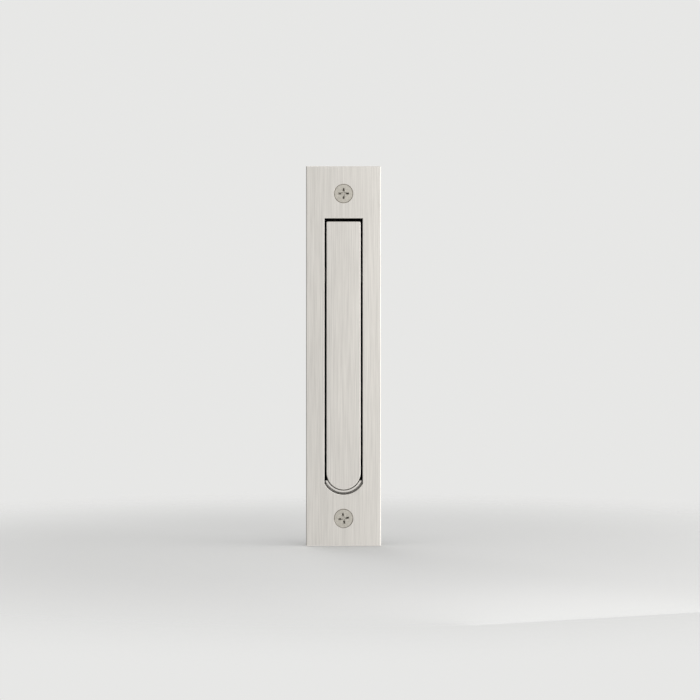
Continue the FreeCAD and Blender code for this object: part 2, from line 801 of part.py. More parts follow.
# Bumper: moulded rubber, pushed through a hole in the case's back and held there by its barb.
bumper = sub_part("bumper")
bumper_section = sketch_on(bumper, "section", "XY_Plane", out=press_height)
bumper_face = f"({case_back} - bumper_height)"
outline(
    bumper_section,
    [
        ("0", bumper_face),
        ("bumper_diameter / 2 - bumper_taper", bumper_face),
        ("bumper_diameter / 2", case_back),
        ("stem_diameter / 2", case_back),
        ("stem_diameter / 2", case_outer_back),
        ("barb_diameter / 2", case_outer_back),
        ("stem_diameter / 4", f"{case_outer_back} + barb_length"),
        ("0", f"{case_outer_back} + barb_length"),
    ],
)
revolve(bumper, bumper_section, "V_Axis")

# Mounting screws: countersunk wood screws with a cross recess, through the plate and the case's feet.
mounting_screws = []
for screw_name, side, turn in (
    ("upper_screw", "1", "upper_cross_turn"),
    ("lower_screw", "-1", "lower_cross_turn"),
):
    screw = new_body(screw_name)
    mounting_screws.append(screw)
    screw_z = f"{side} * screw_spacing / 2"
    head_face = "(screw_head_sink - plate_thickness)"
    head_depth = "((screw_head_diameter - screw_neck_diameter) / 2 / tan(screw_head_angle / 2))"
    point = f"({head_face} + screw_length)"
    screw_section = sketch_on(screw, "section", "XY_Plane", out=screw_z)
    outline(
        screw_section,
        [
            ("0", head_face),
            ("screw_head_diameter / 2", head_face),
            ("screw_neck_diameter / 2", f"{head_face} + {head_depth}"),
            ("screw_neck_diameter / 2", "0"),
            ("screw_thread_diameter / 2", "0"),
            ("screw_thread_diameter / 2", f"{point} - screw_point_length"),
            ("0", point),
        ],
    )
    revolve(screw, screw_section, "V_Axis")
    cross = sketch_on(screw, "cross", "XZ_Plane", up=screw_z, out=mirrored(head_face), turn=turn)
    arm, flank = "cross_length / 2", "cross_width / 2"
    quarter = [(flank, arm), (flank, flank), (arm, flank)]
    right = quarter + [(x, mirrored(y)) for x, y in reversed(quarter)]
    outline(cross, right + [(mirrored(x), y) for x, y in reversed(right)])
    pocket(screw, cross, depth="cross_depth")
group_of("mounting_screws", mounting_screws)

# Nothing is written unless every feature was made and every piece is a sound solid.
document.recompute()
failed = [thing.Name for thing in document.Objects if {"Invalid", "Error"} & set(thing.State)]
failed += [piece.Label for piece in subparts if piece.Shape.isNull() or not piece.Shape.isValid()]
if failed:
    raise RuntimeError(f"not built: {failed}")
os.makedirs("parts", exist_ok=True)
for piece in subparts:
    piece.Shape.exportStep(f"parts/{piece.Label}.step")
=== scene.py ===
import json
import math

import bmesh
import bpy
from mathutils import Matrix, Vector


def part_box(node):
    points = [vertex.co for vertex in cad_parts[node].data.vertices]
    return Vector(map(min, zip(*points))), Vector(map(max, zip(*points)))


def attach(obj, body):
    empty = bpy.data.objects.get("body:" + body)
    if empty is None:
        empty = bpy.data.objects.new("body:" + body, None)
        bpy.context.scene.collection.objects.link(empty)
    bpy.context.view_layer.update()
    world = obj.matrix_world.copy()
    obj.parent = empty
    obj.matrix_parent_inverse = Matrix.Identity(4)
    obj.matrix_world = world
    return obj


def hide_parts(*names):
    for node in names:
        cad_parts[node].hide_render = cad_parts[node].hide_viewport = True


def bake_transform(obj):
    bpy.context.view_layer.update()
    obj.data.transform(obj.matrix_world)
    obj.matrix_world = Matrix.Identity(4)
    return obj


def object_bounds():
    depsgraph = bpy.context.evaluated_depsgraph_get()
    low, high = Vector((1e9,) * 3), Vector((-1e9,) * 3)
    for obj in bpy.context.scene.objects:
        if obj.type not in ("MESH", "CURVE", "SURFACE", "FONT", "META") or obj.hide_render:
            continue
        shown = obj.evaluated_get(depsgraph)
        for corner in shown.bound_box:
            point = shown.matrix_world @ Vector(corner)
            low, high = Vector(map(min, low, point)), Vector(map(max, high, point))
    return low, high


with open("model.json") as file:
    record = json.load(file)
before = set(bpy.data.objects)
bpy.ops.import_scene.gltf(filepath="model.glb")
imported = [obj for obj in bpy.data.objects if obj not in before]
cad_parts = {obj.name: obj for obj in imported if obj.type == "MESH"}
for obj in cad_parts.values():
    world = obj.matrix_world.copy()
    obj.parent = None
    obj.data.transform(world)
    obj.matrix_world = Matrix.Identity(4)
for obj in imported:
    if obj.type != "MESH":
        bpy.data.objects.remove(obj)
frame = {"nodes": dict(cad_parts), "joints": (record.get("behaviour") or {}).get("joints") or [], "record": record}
cad_low, cad_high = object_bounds()

# Face plate: a 3 mm casting with a long opening for the lever and two countersunk holes.
# It is brushed lengthwise and then plated with satin nickel, so fine upright scratches show in it.
# Its rounded edges are buffed smoother and painted lighter, a painted highlight along every edge. The lever has
# the same finish, from the same batch.
MM = 0.001
NICKEL_DARK = (0.592, 0.569, 0.531, 1)
NICKEL_LIGHT = (0.772, 0.743, 0.695, 1)
# The rounded edges' lighter colour is a painted highlight.
NICKEL_EDGE_HIGHLIGHT = (0.80, 0.77, 0.725, 1)
NICKEL_ROUGHNESS = (0.30, 0.42)
EDGE_ROUGHNESS = 0.24
# The brush marks' sizes along X, Y and Z, and the shares of the finer ones and of the slow cloud.
STREAK = (0.26 * MM, 0.26 * MM, 16 * MM)
HAIRLINE = (0.09 * MM, 0.09 * MM, 9 * MM)
CLOUD = (7 * MM, 7 * MM, 42 * MM)
HAIRLINE_SHARE = 0.25
CLOUD_SHARE = 0.12
BRUSH_DEPTH = 0.012 * MM
# How squarely a surface faces front or back, and how far it is buffed and painted lighter as a highlight there.
EDGE_TURNS = ((0.05, 0.0), (0.30, 1.0), (0.90, 1.0), (0.985, 0.0))
# Most of a grain lies between these two values.
GRAIN_LOW, GRAIN_HIGH = 0.3, 0.7


def start_material(name):
    """A new material, with its node tree and the shader that ends it."""
    material = bpy.data.materials.new(name)
    material.use_nodes = True
    return material, material.node_tree, material.node_tree.nodes["Principled BSDF"]


def grain(tree, cell, detail=2.0):
    """Soft random grain on the piece's own coordinates, of the cell size given along X, Y and Z."""
    place = tree.nodes.new("ShaderNodeTexCoord")
    stretch = tree.nodes.new("ShaderNodeMapping")
    stretch.inputs["Scale"].default_value = [1 / size for size in cell]
    noise = tree.nodes.new("ShaderNodeTexNoise")
    noise.inputs["Scale"].default_value = 1.0
    noise.inputs["Detail"].default_value = detail
    tree.links.new(place.outputs["Object"], stretch.inputs["Vector"])
    tree.links.new(stretch.outputs["Vector"], noise.inputs["Vector"])
    return noise.outputs["Fac"]


def weigh(tree, first, second, share):
    """Two grains in one: share of the second, the rest of the first."""
    mix = tree.nodes.new("ShaderNodeMix")
    mix.inputs["Factor"].default_value = share
    tree.links.new(first, mix.inputs["A"])
    tree.links.new(second, mix.inputs["B"])
    return mix.outputs["Result"]


def span(tree, source, low, high):
    """The grain's middle range, spread from low to high."""
    ranged = tree.nodes.new("ShaderNodeMapRange")
    ranged.inputs["From Min"].default_value = GRAIN_LOW
    ranged.inputs["From Max"].default_value = GRAIN_HIGH
    ranged.inputs["To Min"].default_value = low
    ranged.inputs["To Max"].default_value = high
    tree.links.new(source, ranged.inputs["Value"])
    return ranged.outputs["Result"]


def tint(tree, source, dark, light):
    """A colour between dark and light, chosen by the grain."""
    ramp = tree.nodes.new("ShaderNodeValToRGB")
    low, high = ramp.color_ramp.elements
    low.position, high.position = GRAIN_LOW, GRAIN_HIGH
    low.color, high.color = dark, light
    tree.links.new(source, ramp.inputs["Fac"])
    return ramp.outputs["Color"]


def relief(tree, source, height):
    """Surface relief of the grain, as high as given."""
    bump = tree.nodes.new("ShaderNodeBump")
    bump.inputs["Strength"].default_value = 1.0
    bump.inputs["Distance"].default_value = height
    tree.links.new(source, bump.inputs["Height"])
    return bump.outputs["Normal"]


def rounded_edges(tree):
    """1 where the surface turns from the front or back to a wall, and 0 on flat faces and walls."""
    place = tree.nodes.new("ShaderNodeTexCoord")
    apart = tree.nodes.new("ShaderNodeSeparateXYZ")
    size = tree.nodes.new("ShaderNodeMath")
    size.operation = "ABSOLUTE"
    ramp = tree.nodes.new("ShaderNodeValToRGB")
    while len(ramp.color_ramp.elements) < len(EDGE_TURNS):
        ramp.color_ramp.elements.new(0.5)
    for stop, (position, share) in zip(ramp.color_ramp.elements, EDGE_TURNS):
        stop.position = position
        stop.color = (share, share, share, 1)
    tree.links.new(place.outputs["Normal"], apart.inputs["Vector"])
    tree.links.new(apart.outputs["Y"], size.inputs[0])
    tree.links.new(size.outputs["Value"], ramp.inputs["Fac"])
    return ramp.outputs["Color"]


def brushed_nickel(name):
    """Satin nickel over upright brush lines, with a slow change of tone, and rounded edges buffed smoother and
    painted lighter as a highlight.
    """
    material, tree, shader = start_material(name)
    lines = weigh(tree, grain(tree, STREAK), grain(tree, HAIRLINE), HAIRLINE_SHARE)
    tone = weigh(tree, lines, grain(tree, CLOUD), CLOUD_SHARE)
    edges = rounded_edges(tree)
    # Painted highlight: the edge mask mixes a lighter colour into the rounded edges, beside their lower roughness.
    colour = tree.nodes.new("ShaderNodeMix")
    colour.data_type = "RGBA"
    colour.inputs["B"].default_value = NICKEL_EDGE_HIGHLIGHT
    rough = tree.nodes.new("ShaderNodeMix")
    rough.inputs["B"].default_value = EDGE_ROUGHNESS
    tree.links.new(edges, colour.inputs["Factor"])
    tree.links.new(edges, rough.inputs["Factor"])
    tree.links.new(tint(tree, tone, NICKEL_DARK, NICKEL_LIGHT), colour.inputs["A"])
    tree.links.new(span(tree, lines, *NICKEL_ROUGHNESS), rough.inputs["A"])
    shader.inputs["Metallic"].default_value = 1.0
    tree.links.new(colour.outputs["Result"], shader.inputs["Base Color"])
    tree.links.new(rough.outputs["Result"], shader.inputs["Roughness"])
    tree.links.new(relief(tree, lines, BRUSH_DEPTH), shader.inputs["Normal"])
    return material


def clothe(node, material):
    """Gives a node of the frame its finish."""
    piece = frame["nodes"][node]
    for place in piece.material_slots:
        place.material = material


plate_nickel = brushed_nickel("plate_nickel")
clothe("face_plate", plate_nickel)

# Case studs: four short steel studs with a rolled thread, zinc plated.
# They are welded into the shallow recess in the plate's back and stand through the case's feet.
STUD_RADIUS = 1.5 * MM
STUD_CORE = 1.25 * MM
STUD_PITCH = 0.5 * MM
STUD_CHAMFER = 0.3 * MM
ZINC_COOL = (0.53, 0.55, 0.58, 1)
ZINC_WARM = (0.60, 0.59, 0.55, 1)
ZINC_ROUGHNESS = (0.24, 0.42)
ZINC_CAST = 1.4 * MM
TOOL_MARK = 0.12 * MM
TOOL_MARK_SHARE = 0.5
TOOL_MARK_DEPTH = 0.006 * MM
ROUND_STEPS = 32
THREAD_SINK = 0.1 * MM
# Points closer than this are one point.
HAIR = 0.001 * MM
# Faces that meet at less than this are shaded as one round stretch.
SOFT_TURN = math.radians(32)
TO_BACK = Matrix.Rotation(math.radians(-90), 4, "X")


def even(size):
    """A grain's cell of one size all round."""
    return (size, size, size)


def zinc_plate():
    """Bright zinc plate with a faint cool and warm cast, and fine tool marks."""
    material, tree, shader = start_material("zinc_plate")
    cast = grain(tree, even(ZINC_CAST), detail=3.0)
    marks = grain(tree, even(TOOL_MARK))
    sheen = weigh(tree, cast, marks, TOOL_MARK_SHARE)
    shader.inputs["Metallic"].default_value = 1.0
    tree.links.new(tint(tree, cast, ZINC_COOL, ZINC_WARM), shader.inputs["Base Color"])
    tree.links.new(span(tree, sheen, *ZINC_ROUGHNESS), shader.inputs["Roughness"])
    tree.links.new(relief(tree, marks, TOOL_MARK_DEPTH), shader.inputs["Normal"])
    return material


def turn(bm, profile, steps=ROUND_STEPS, closed=False):
    """Turns a profile of radius and height about Z. A closed profile makes a ring."""
    corners = [bm.verts.new((radius, 0, height)) for radius, height in profile]
    ends = corners[1:] + corners[:1] if closed else corners[1:]
    edges = [bm.edges.new(pair) for pair in zip(corners, ends)]
    bmesh.ops.spin(
        bm, geom=corners + edges, cent=(0, 0, 0), axis=(0, 0, 1), dvec=(0, 0, 0),
        angle=math.tau, steps=steps, use_merge=True,
    )
    bmesh.ops.remove_doubles(bm, verts=bm.verts[:], dist=HAIR)


def wind_thread(bm, core, crest, bottom, pitch, turns, base=0.40, flat=0.08):
    """Winds a ridge of thread round Z, upwards from bottom. Its foot is sunk in the core.
    Base and flat are its half widths at the foot and the crest, in pitches."""
    foot = core - THREAD_SINK
    section = ((foot, -base), (crest, -flat), (crest, flat), (foot, base))
    corners = [bm.verts.new((radius, 0, bottom + share * pitch)) for radius, share in section]
    steps = round(ROUND_STEPS * turns)
    bmesh.ops.spin(
        bm, geom=[bm.faces.new(corners)], cent=(0, 0, 0), axis=(0, 0, 1),
        dvec=(0, 0, pitch * turns / steps), angle=math.tau * turns, steps=steps,
    )


def set_down(bm, part, place):
    """Adds a copy of a finished part to bm, moved to its place."""
    mesh = bpy.data.meshes.new("copy")
    part.to_mesh(mesh)
    mesh.transform(place)
    bm.from_mesh(mesh)
    bpy.data.meshes.remove(mesh)


def make_piece(bm, name, *materials):
    """Closes the mesh work: outward faces, soft shading on round stretches, and the finish."""
    bmesh.ops.recalc_face_normals(bm, faces=bm.faces[:])
    mesh = bpy.data.meshes.new(name)
    bm.to_mesh(mesh)
    bm.free()
    mesh.shade_smooth()
    mesh.set_sharp_from_angle(angle=SOFT_TURN)
    for material in materials:
        mesh.materials.append(material)
    piece = bpy.data.objects.new(name, mesh)
    bpy.context.scene.collection.objects.link(piece)
    return piece


stud_low, stud_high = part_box("case_studs")
stud_x = stud_high.x - STUD_RADIUS
stud_z = stud_high.z - STUD_RADIUS
stud_length = stud_high.y - stud_low.y
stud_places = [(x, z) for x in (-stud_x, stud_x) for z in (-stud_z, stud_z)]

stud = bmesh.new()
turn(stud, (
    (0, 0), (STUD_CORE, 0), (STUD_CORE, stud_length - STUD_CHAMFER),
    (STUD_CORE - STUD_CHAMFER, stud_length), (0, stud_length),
))
thread_turns = math.floor((stud_length - STUD_CHAMFER) / STUD_PITCH - 1)
wind_thread(stud, STUD_CORE, STUD_RADIUS, STUD_PITCH, STUD_PITCH, thread_turns)
studs = bmesh.new()
for x, z in stud_places:
    set_down(studs, stud, Matrix.Translation((x, stud_low.y, z)) @ TO_BACK)
stud.free()
zinc = zinc_plate()
threaded_studs = make_piece(studs, "threaded_studs", zinc)
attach(threaded_studs, "plate_and_case")
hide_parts("case_studs")

# Case: a box folded from 1.2 mm steel sheet that closes the mortise off behind the lever.
# Its four back corners, where the folds meet, are welded up and dressed round.
# It is painted matt black inside and out, with the slight orange peel of a sprayed coat.
SHEET = 1.2 * MM
INNER_BEND = 0.8 * MM
OUTER_BEND = INNER_BEND + SHEET
FOLD_RELIEF = 0.8 * MM
CORNER_STEPS = 8
PAINT_DEEP = (0.022, 0.022, 0.024, 1)
PAINT_WORN = (0.038, 0.038, 0.040, 1)
PAINT_ROUGHNESS = (0.48, 0.62)
PEEL = 0.35 * MM
PEEL_SHARE = 0.3
PEEL_DEPTH = 0.02 * MM
SHEEN_DRIFT = 11 * MM


def matt_black_paint():
    """Sprayed matt black paint: a fine orange peel over slow changes of sheen."""
    material, tree, shader = start_material("matt_black_paint")
    peel = grain(tree, even(PEEL))
    drift = grain(tree, even(SHEEN_DRIFT), detail=4.0)
    coat = weigh(tree, drift, peel, PEEL_SHARE)
    tree.links.new(tint(tree, coat, PAINT_DEEP, PAINT_WORN), shader.inputs["Base Color"])
    tree.links.new(span(tree, drift, *PAINT_ROUGHNESS), shader.inputs["Roughness"])
    tree.links.new(relief(tree, peel, PEEL_DEPTH), shader.inputs["Normal"])
    return material


def quarter_bend(radius):
    """Points along a quarter of a fold of one radius, from the wall to the back."""
    angles = [step / CORNER_STEPS * math.pi / 2 for step in range(CORNER_STEPS + 1)]
    return [(radius * math.cos(angle), radius * math.sin(angle)) for angle in angles]


def round_corner():
    """One welded corner: a hollow eighth of a ball, with the folds' radii and a short skirt."""
    bm = bmesh.new()
    skirt = [(INNER_BEND, -FOLD_RELIEF), (OUTER_BEND, -FOLD_RELIEF)]
    outline = skirt + quarter_bend(OUTER_BEND) + quarter_bend(INNER_BEND)[::-1]
    section = [bm.verts.new((radius, back, 0)) for radius, back in outline]
    bmesh.ops.spin(
        bm, geom=[bm.faces.new(section)], cent=(0, 0, 0), axis=(0, 1, 0), dvec=(0, 0, 0),
        angle=-math.pi / 2, steps=CORNER_STEPS,
    )
    bmesh.ops.remove_doubles(bm, verts=bm.verts[:], dist=HAIR)
    return bm


black_paint = matt_black_paint()
clothe("case", black_paint)
corner_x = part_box("case")[1].x - OUTER_BEND
corner_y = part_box("case")[1].y - OUTER_BEND
corner_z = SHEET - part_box("rest_block")[0].z - OUTER_BEND
corner = round_corner()
corners = bmesh.new()
for side in (-1, 1):
    for end in (-1, 1):
        place = Matrix.Translation((side * corner_x, corner_y, end * corner_z))
        set_down(corners, corner, place @ Matrix.Diagonal((side, 1, end, 1)))
corner.free()
corner_welds = make_piece(corners, "corner_welds", black_paint)
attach(corner_welds, "plate_and_case")

# Case washers: four plain stamped washers, zinc plated, between the case's feet and the nuts.
# Stamping leaves their edges slightly rounded.
WASHER_EDGE = 0.1 * MM
WASHER_PLAY = 0.1 * MM
washer_low, washer_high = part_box("case_washers")
washer_radius = washer_high.x - stud_x
washer_thickness = washer_high.y - washer_low.y
washer_bore = STUD_RADIUS + WASHER_PLAY

washer = bmesh.new()
turn(washer, (
    (washer_bore, 0), (washer_radius - WASHER_EDGE, 0), (washer_radius, WASHER_EDGE),
    (washer_radius, washer_thickness - WASHER_EDGE),
    (washer_radius - WASHER_EDGE, washer_thickness),
    (washer_bore + WASHER_EDGE, washer_thickness),
    (washer_bore, washer_thickness - WASHER_EDGE),
), steps=2 * ROUND_STEPS, closed=True)
washers = bmesh.new()
for x, z in stud_places:
    set_down(washers, washer, Matrix.Translation((x, washer_low.y, z)) @ TO_BACK)
washer.free()
stamped_washers = make_piece(washers, "stamped_washers", zinc)
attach(stamped_washers, "plate_and_case")
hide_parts("case_washers")

# Case nuts: four small hexagon nuts, zinc plated, that clamp the case's feet to the plate.
# Their corners are turned down to a cone on both ends, and the bore is countersunk.
NUT_SIDES = 6
NUT_STEPS_A_SIDE = 8
NUT_CONE = math.radians(30)
NUT_COUNTERSINK = 0.25 * MM
NUT_PLAY = 0.02 * MM
NUT_FACE_SHARE = 0.97
nut_low, nut_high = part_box("case_nuts")
nut_apothem = nut_high.z - stud_z
nut_height = nut_high.y - nut_low.y
nut_bore = STUD_RADIUS + NUT_PLAY
nut_face = NUT_FACE_SHARE * nut_apothem


def ring_edges(verts):
    """The edges that run round a ring of vertices."""
    chosen = set(verts)
    return [edge for edge in {e for v in verts for e in v.link_edges} if set(edge.verts) <= chosen]


def next_ring(bm, ring):
    """A second ring of vertices, drawn out of the first and joined to it by faces."""
    made = bmesh.ops.extrude_edge_only(bm, edges=ring_edges(ring))["geom"]
    return [part for part in made if isinstance(part, bmesh.types.BMVert)]


def set_round(ring, radius, height):
    """Brings a ring of vertices to one radius and height."""
    for vert in ring:
        flat = Vector((vert.co.x, vert.co.y)).normalized() * radius
        vert.co = (flat.x, flat.y, height)


def set_hexagon(ring, height, side):
    """Brings a ring to the hexagon, with its corners cut back by the cone on side 1 or -1."""
    for vert in ring:
        turned = math.atan2(vert.co.y, vert.co.x) % (math.tau / NUT_SIDES) - math.pi / NUT_SIDES
        radius = nut_apothem / math.cos(turned)
        flat = Vector((vert.co.x, vert.co.y)).normalized() * radius
        vert.co = (flat.x, flat.y, height - side * max(radius - nut_face, 0) * math.tan(NUT_CONE))


nut = bmesh.new()
nut_steps = NUT_SIDES * NUT_STEPS_A_SIDE
ring = bmesh.ops.create_circle(nut, segments=nut_steps, radius=nut_bore)["verts"]
bore_start = ring
set_round(ring, nut_bore, NUT_COUNTERSINK)
for radius, height in ((nut_bore + NUT_COUNTERSINK, 0), (nut_face, 0)):
    ring = next_ring(nut, ring)
    set_round(ring, radius, height)
ring = next_ring(nut, ring)
set_hexagon(ring, 0, -1)
ring = next_ring(nut, ring)
set_hexagon(ring, nut_height, 1)
for radius, height in (
    (nut_face, nut_height), (nut_bore + NUT_COUNTERSINK, nut_height),
    (nut_bore, nut_height - NUT_COUNTERSINK),
):
    ring = next_ring(nut, ring)
    set_round(ring, radius, height)
bmesh.ops.bridge_loops(nut, edges=ring_edges(ring) + ring_edges(bore_start))
nuts = bmesh.new()
for x, z in stud_places:
    set_down(nuts, nut, Matrix.Translation((x, nut_low.y, z)) @ TO_BACK)
nut.free()
hexagon_nuts = make_piece(nuts, "hexagon_nuts", zinc)
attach(hexagon_nuts, "plate_and_case")
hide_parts("case_nuts")

# Lever: the flush pull itself, cast and then brushed and plated with the plate.
# It turns on two ears behind its face; its round lower end has a scooped grip behind it.
lever_nickel = brushed_nickel("lever_nickel")
clothe("lever", lever_nickel)

# Bushes: two flanged bushes pressed into the lever's ears, moulded in black bearing plastic.
# They keep the lever from rattling on the pin.
BUSH_DARK = (0.028, 0.028, 0.030, 1)
BUSH_LIGHT = (0.042, 0.042, 0.044, 1)
BUSH_ROUGHNESS = (0.40, 0.54)
BUSH_HAZE = 0.9 * MM
BUSH_HAZE_DEPTH = 0.01 * MM


def bearing_plastic():
    """Black moulded plastic, waxy and a little uneven."""
    material, tree, shader = start_material("bearing_plastic")
    haze = grain(tree, even(BUSH_HAZE), detail=3.0)
    tree.links.new(tint(tree, haze, BUSH_DARK, BUSH_LIGHT), shader.inputs["Base Color"])
    tree.links.new(span(tree, haze, *BUSH_ROUGHNESS), shader.inputs["Roughness"])
    tree.links.new(relief(tree, haze, BUSH_HAZE_DEPTH), shader.inputs["Normal"])
    return material


plastic = bearing_plastic()
clothe("bush_left", plastic)
clothe("bush_right", plastic)

# Return spring: 0.9 mm spring wire, coiled round the pivot pin, that brings the lever back flush.
# One straight leg lies behind the lever's face; the other is bent up along the case's back wall.
WIRE_RADIUS = 0.45 * MM
COIL_TURNS = 4.375
COIL_PITCH = 0.95 * MM
COIL_RADIUS = 2.55 * MM
LEG_RISE = 10 * MM
WALL_BEND = 2 * MM
WALL_LEAN = math.radians(45)
WALL_BEND_STEPS = 8
WIRE_STEPS = 14
SPRING_DARK = (0.20, 0.20, 0.21, 1)
SPRING_LIGHT = (0.36, 0.36, 0.37, 1)
SPRING_ROUGHNESS = (0.24, 0.40)
OIL_FILM = 0.7 * MM
OIL_FILM_DEPTH = 0.004 * MM


def spring_wire():
    """Oiled spring wire: dark drawn steel with a soft gloss."""
    material, tree, shader = start_material("spring_wire")
    film = grain(tree, even(OIL_FILM), detail=3.0)
    shader.inputs["Metallic"].default_value = 1.0
    tree.links.new(tint(tree, film, SPRING_DARK, SPRING_LIGHT), shader.inputs["Base Color"])
    tree.links.new(span(tree, film, *SPRING_ROUGHNESS), shader.inputs["Roughness"])
    tree.links.new(relief(tree, film, OIL_FILM_DEPTH), shader.inputs["Normal"])
    return material


def run_on(bm, face, way):
    """Draws the wire on, straight, from its end face, and gives the new end face."""
    made = bmesh.ops.extrude_face_region(bm, geom=[face])["geom"]
    verts = [part for part in made if isinstance(part, bmesh.types.BMVert)]
    bmesh.ops.translate(bm, verts=verts, vec=way)
    bm.faces.remove(face)
    return next(part for part in made if isinstance(part, bmesh.types.BMFace))


def bend_on(bm, face, centre, angle, steps, advance=0.0):
    """Bends the wire on about a line along X, with an advance along it. Gives the new end face."""
    made = bmesh.ops.spin(
        bm, geom=[face], cent=centre, axis=(1, 0, 0), dvec=(advance / steps, 0, 0),
        angle=angle, steps=steps,
    )["geom_last"]
    bm.faces.remove(face)
    return next(part for part in made if isinstance(part, bmesh.types.BMFace))


pivot = Vector(frame["joints"][0]["pos_m"])
spring_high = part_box("return_spring")[1]
coil_length = COIL_TURNS * COIL_PITCH
lever_leg = Vector((-coil_length / 2, pivot.y - COIL_RADIUS, pivot.z))
wire = bmesh.new()
bmesh.ops.create_circle(wire, cap_ends=True, segments=WIRE_STEPS, radius=WIRE_RADIUS)
bmesh.ops.translate(wire, verts=wire.verts[:], vec=lever_leg + Vector((0, 0, LEG_RISE)))
wire.faces.ensure_lookup_table()
coil_steps = round(COIL_TURNS * ROUND_STEPS)
end = run_on(wire, wire.faces[0], Vector((0, 0, -LEG_RISE)))
end = bend_on(wire, end, pivot, math.tau * COIL_TURNS, coil_steps, coil_length)
leg_start = end.calc_center_median()
lean = Vector((0, math.sin(WALL_LEAN), math.cos(WALL_LEAN)))
wall_y = spring_high.y - WIRE_RADIUS
to_wall = (wall_y - leg_start.y) / lean.y
bend_start = leg_start + lean * (to_wall - WALL_BEND * math.tan(WALL_LEAN / 2))
end = run_on(wire, end, bend_start - leg_start)
bend_middle = Vector((0, wall_y - WALL_BEND, bend_start.z + WALL_BEND * math.sin(WALL_LEAN)))
end = bend_on(wire, end, bend_middle, WALL_LEAN, WALL_BEND_STEPS)
run_on(wire, end, Vector((0, 0, spring_high.z - end.calc_center_median().z)))
bmesh.ops.holes_fill(wire, edges=[edge for edge in wire.edges if edge.is_boundary])
steel_wire = spring_wire()
coiled_spring = make_piece(wire, "coiled_spring", steel_wire)
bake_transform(coiled_spring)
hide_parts("return_spring")

# Pivot pin: a turned steel pin, zinc plated, pushed through the case's cheeks and the bushes.
# It has a low head on the left and a groove for the clip on the right.
PIN_RADIUS = 1.5 * MM
PIN_EDGE = 0.2 * MM
GROOVE_RADIUS = 1.15 * MM
GROOVE_WIDTH = 0.7 * MM
PIN_TAIL = 0.8 * MM
TO_RIGHT = Matrix.Rotation(math.radians(90), 4, "Y")
pin_low, pin_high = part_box("pivot_pin")
pin_length = pin_high.x - pin_low.x
pin_head_radius = pin_high.z - pivot.z
pin_head_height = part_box("case")[0].x - pin_low.x
groove_far = pin_length - PIN_TAIL

pin = bmesh.new()
turn(pin, (
    (0, 0), (pin_head_radius - PIN_EDGE, 0), (pin_head_radius, PIN_EDGE),
    (pin_head_radius, pin_head_height), (PIN_RADIUS, pin_head_height),
    (PIN_RADIUS, groove_far - GROOVE_WIDTH), (GROOVE_RADIUS, groove_far - GROOVE_WIDTH),
    (GROOVE_RADIUS, groove_far), (PIN_RADIUS, groove_far),
    (PIN_RADIUS, pin_length - PIN_EDGE), (PIN_RADIUS - PIN_EDGE, pin_length), (0, pin_length),
), steps=2 * ROUND_STEPS)
pin_place = Matrix.Translation((pin_low.x, pivot.y, pivot.z)) @ TO_RIGHT
bmesh.ops.transform(pin, matrix=pin_place, verts=pin.verts[:])
turned_pin = make_piece(pin, "turned_pin", zinc)
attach(turned_pin, "plate_and_case")
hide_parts("pivot_pin")

# Retaining clip: a stamped clip of spring steel, oiled like the spring.
# It is snapped into the pin's groove outside the case's cheek and keeps the pin from sliding out.
clothe("retaining_clip", steel_wire)

# Rest block: the metal block behind the lever's round end, screwed to the case's lower end wall.
# Its thin curved rim shows round the lever's tip.
# It is cast, tumbled, and plated satin nickel without brushing.
CAST_DARK = (0.63, 0.605, 0.565, 1)
CAST_LIGHT = (0.73, 0.70, 0.655, 1)
CAST_ROUGHNESS = (0.28, 0.38)
CAST_PORE = 0.22 * MM
CAST_PORE_DEPTH = 0.006 * MM


def cast_nickel():
    """Satin nickel on a tumbled casting: an even, fine grain with no brush lines."""
    material, tree, shader = start_material("cast_nickel")
    pores = grain(tree, even(CAST_PORE), detail=3.0)
    shader.inputs["Metallic"].default_value = 1.0
    tree.links.new(tint(tree, pores, CAST_DARK, CAST_LIGHT), shader.inputs["Base Color"])
    tree.links.new(span(tree, pores, *CAST_ROUGHNESS), shader.inputs["Roughness"])
    tree.links.new(relief(tree, pores, CAST_PORE_DEPTH), shader.inputs["Normal"])
    return material


clothe("rest_block", cast_nickel())

# Rest pad and bumper: two stops of matt black rubber, both moulded.
# The pad is glued on the rest block under the lever's round end.
# The bumper's stem is pulled through the case's back wall, behind the lever's press end.
RUBBER = (0.020, 0.020, 0.020, 1)
RUBBER_BLOOM = (0.042, 0.042, 0.041, 1)
RUBBER_ROUGHNESS = (0.68, 0.86)
BLOOM_PATCH = 2.2 * MM
RUBBER_SKIN = 0.12 * MM
RUBBER_SKIN_DEPTH = 0.012 * MM


def matt_rubber():
    """Moulded rubber with a fine grain and a faint grey bloom."""
    material, tree, shader = start_material("matt_rubber")
    bloom = grain(tree, even(BLOOM_PATCH), detail=4.0)
    skin = grain(tree, even(RUBBER_SKIN))
    tree.links.new(tint(tree, bloom, RUBBER, RUBBER_BLOOM), shader.inputs["Base Color"])
    tree.links.new(span(tree, skin, *RUBBER_ROUGHNESS), shader.inputs["Roughness"])
    tree.links.new(relief(tree, skin, RUBBER_SKIN_DEPTH), shader.inputs["Normal"])
    return material


rubber = matt_rubber()
clothe("rest_pad", rubber)
clothe("bumper", rubber)

# Rest block screws: two small pan head machine screws, zinc plated, with a cross recess.
# They come up through the case's lower end wall and pull the rest block down on it.
BLOCK_SCREW_RADIUS = 1.25 * MM
BLOCK_SCREW_CORE = 1.0 * MM
BLOCK_SCREW_PITCH = 0.45 * MM
PAN_HEIGHT = 1.6 * MM
PAN_FLAT = 1.5 * MM
PAN_DOME_SHARE = 0.6
PAN_STEPS = 6
PAN_CROSS_REACH = 1.25 * MM
PAN_CROSS_HALF_WIDTH = 0.28 * MM
PAN_CROSS_DEPTH = 1.0 * MM
PAN_CROSS_FLOOR = 0.6 * MM
CROSS_EDGE = 0.06 * MM
